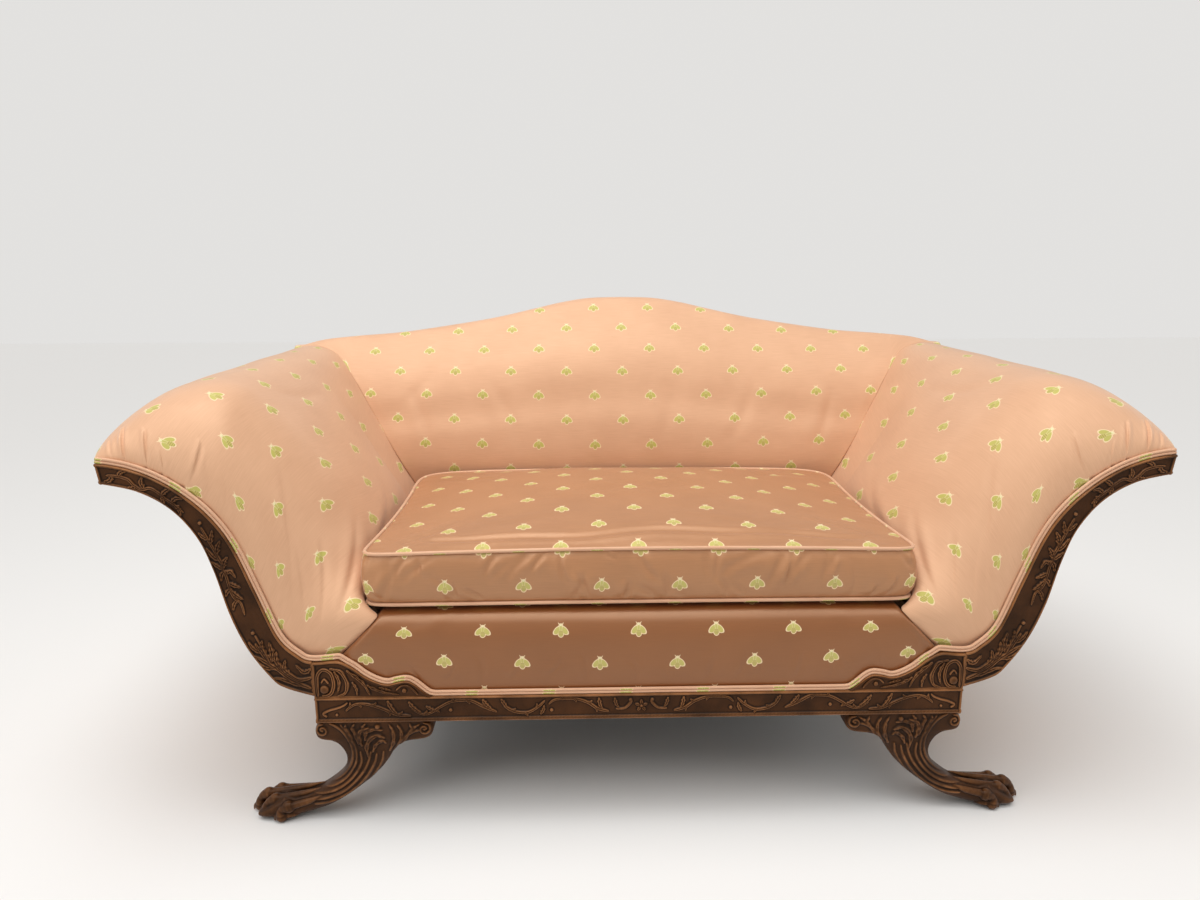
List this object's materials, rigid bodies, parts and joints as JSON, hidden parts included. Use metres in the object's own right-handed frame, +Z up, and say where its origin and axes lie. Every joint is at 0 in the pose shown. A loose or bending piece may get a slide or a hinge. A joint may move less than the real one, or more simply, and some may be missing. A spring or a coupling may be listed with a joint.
{
  "type": "carved wood settee",
  "caption": "Upholstered settee with carved wood front rail, S-scroll arms and paw feet, padded arms, a serpentine back and a loose box cushion.",
  "frame": {"origin": "floor level, midway between the padded arm tips and midway between the carved front and the back's top roll", "axes": "+X to the right across the seat as seen from the front, +Y from the carved front to the back, +Z up"},
  "size_m": [1.85, 0.8839, 0.91],
  "materials": {
    "show_wood": "satin",
    "frame_wood": "matte",
    "bee_satin": "satin",
    "welt_satin": "satin",
    "deck_cloth": "matte",
    "jute": "matte",
    "black_cloth": "matte",
    "steel": "satin"
  },
  "bodies": {
    "settee": {"front_rail": "show_wood", "spandrel_left": "show_wood", "spandrel_right": "show_wood", "arm_facing_left": "show_wood", "arm_facing_right": "show_wood", "front_leg_left": "show_wood", "front_leg_right": "show_wood", "rear_leg_left": "show_wood", "rear_leg_right": "show_wood", "inner_front_rail": "frame_wood", "side_rail_left": "frame_wood", "side_rail_right": "frame_wood", "rear_rail": "frame_wood", "seat_brace": "frame_wood", "corner_block_front_left": "frame_wood", "corner_block_front_right": "frame_wood", "corner_block_rear_left": "frame_wood", "corner_block_rear_right": "frame_wood", "leg_bolts": "steel", "arm_stump_left": "frame_wood", "arm_stump_right": "frame_wood", "arm_back_board_left": "frame_wood", "arm_back_board_right": "frame_wood", "arm_top_rail_left": "frame_wood", "arm_top_rail_right": "frame_wood", "arm_slat_left": "frame_wood", "arm_slat_right": "frame_wood", "back_post_left": "frame_wood", "back_post_right": "frame_wood", "crest_board": "frame_wood", "lower_back_rail": "frame_wood", "back_upright_left": "frame_wood", "back_upright_right": "frame_wood", "back_webbing": "jute", "seat_webbing": "jute", "seat_springs": "steel", "spring_hessian": "jute", "seat_deck": "deck_cloth", "dust_cover": "black_cloth", "front_border": "bee_satin", "arm_pad_left": "bee_satin", "arm_pad_right": "bee_satin", "outside_arm_left": "bee_satin", "outside_arm_right": "bee_satin", "back_pad": "bee_satin", "outside_back": "bee_satin", "double_welt": "welt_satin"},
    "cushion": {"seat_cushion": "bee_satin", "cushion_welt_top": "welt_satin", "cushion_welt_bottom": "welt_satin"}
  },
  "joints": [
    {"name": "cushion_lift", "type": "slide", "parent": "settee", "child": "cushion", "axis": [0, 0, 1], "range_m": [0, 0.52]}
  ]
}
